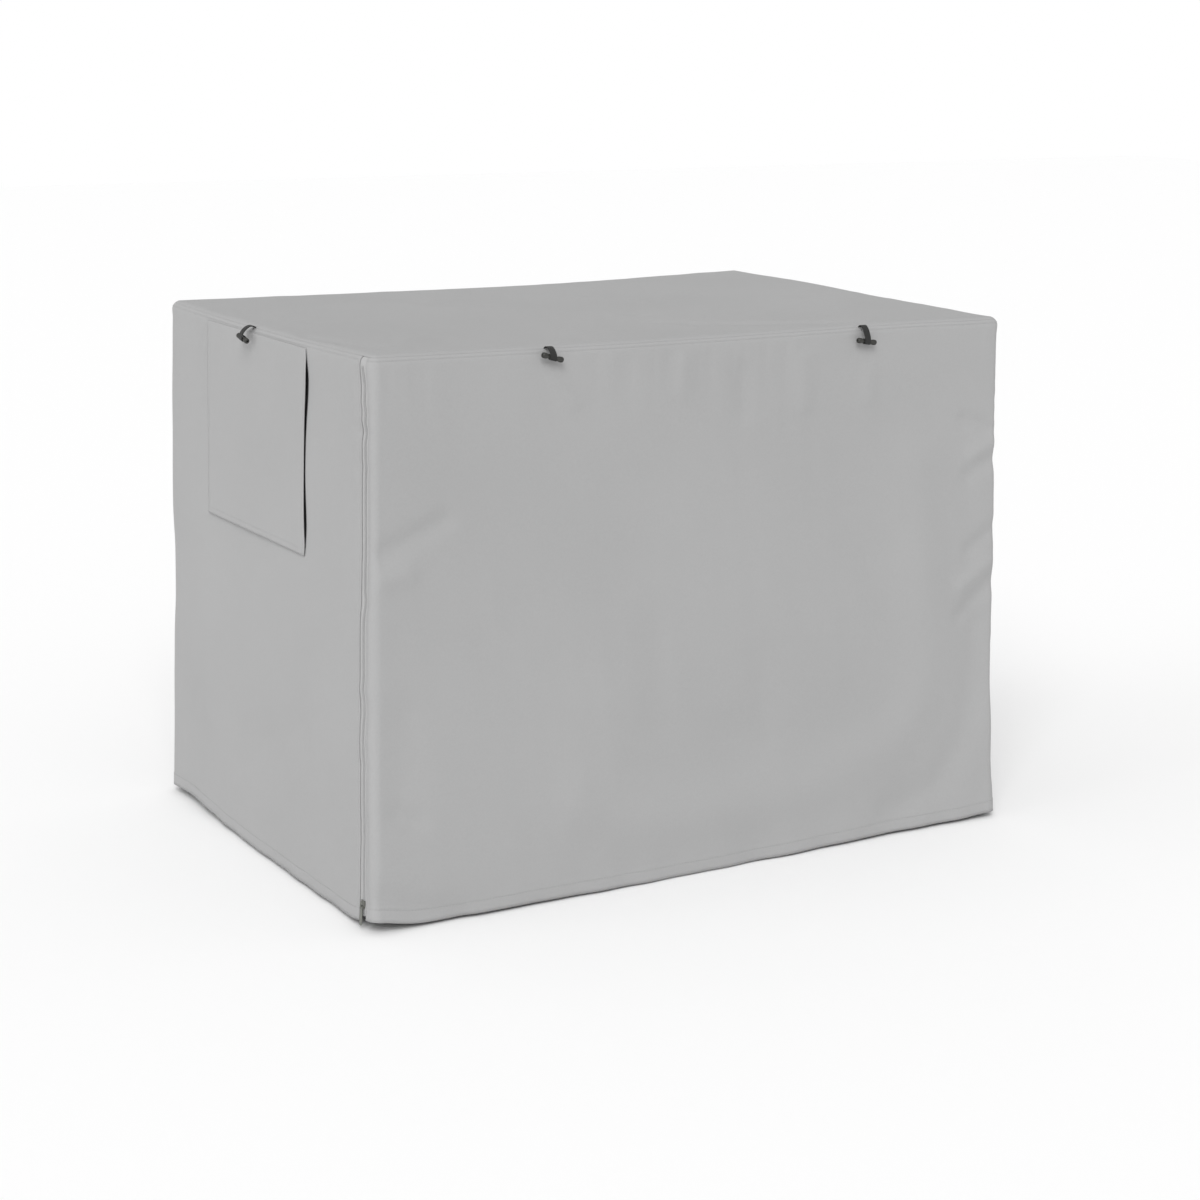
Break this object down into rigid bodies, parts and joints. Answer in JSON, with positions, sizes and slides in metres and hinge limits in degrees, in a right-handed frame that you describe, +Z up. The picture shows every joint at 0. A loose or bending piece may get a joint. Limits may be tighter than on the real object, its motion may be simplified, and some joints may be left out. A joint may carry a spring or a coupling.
{
  "type": "dog crate cover",
  "caption": "Fitted box-shaped cloth cover, open below, with a window flap on one end, corner zips and toggles.",
  "frame": {"origin": "centre of the top's underside, where the cover rests on what it covers", "axes": "+Z up, +X along the length away from the window end, +Y across the width away from the zipped front"},
  "size_m": [1.0879, 0.7531, 0.7817],
  "materials": {
    "cloth": "woven, matt mid grey",
    "net": "fine open net, dark",
    "zip_tape": "woven tape with coil",
    "zip_metal": "satin painted khaki grey",
    "ribbon": "ribbed webbing, dark",
    "bar_plastic": "moulded, satin dark"
  },
  "bodies": {
    "root": {"top_panel": "cloth", "front_panel": "cloth", "back_panel": "cloth", "left_panel": "cloth", "right_panel": "cloth", "window_flap": "cloth", "window_mesh": "net", "zip_left": "zip_tape", "zip_right": "zip_tape", "zip_left_slider": "zip_metal", "zip_right_slider": "zip_metal", "zip_left_pull": "zip_metal", "zip_right_pull": "zip_metal", "toggle_tab_front_left": "ribbon", "toggle_tab_front_right": "ribbon", "toggle_tab_end": "ribbon", "toggle_bar_front_left": "bar_plastic", "toggle_bar_front_right": "bar_plastic", "toggle_bar_end": "bar_plastic"}
  },
  "joints": []
}
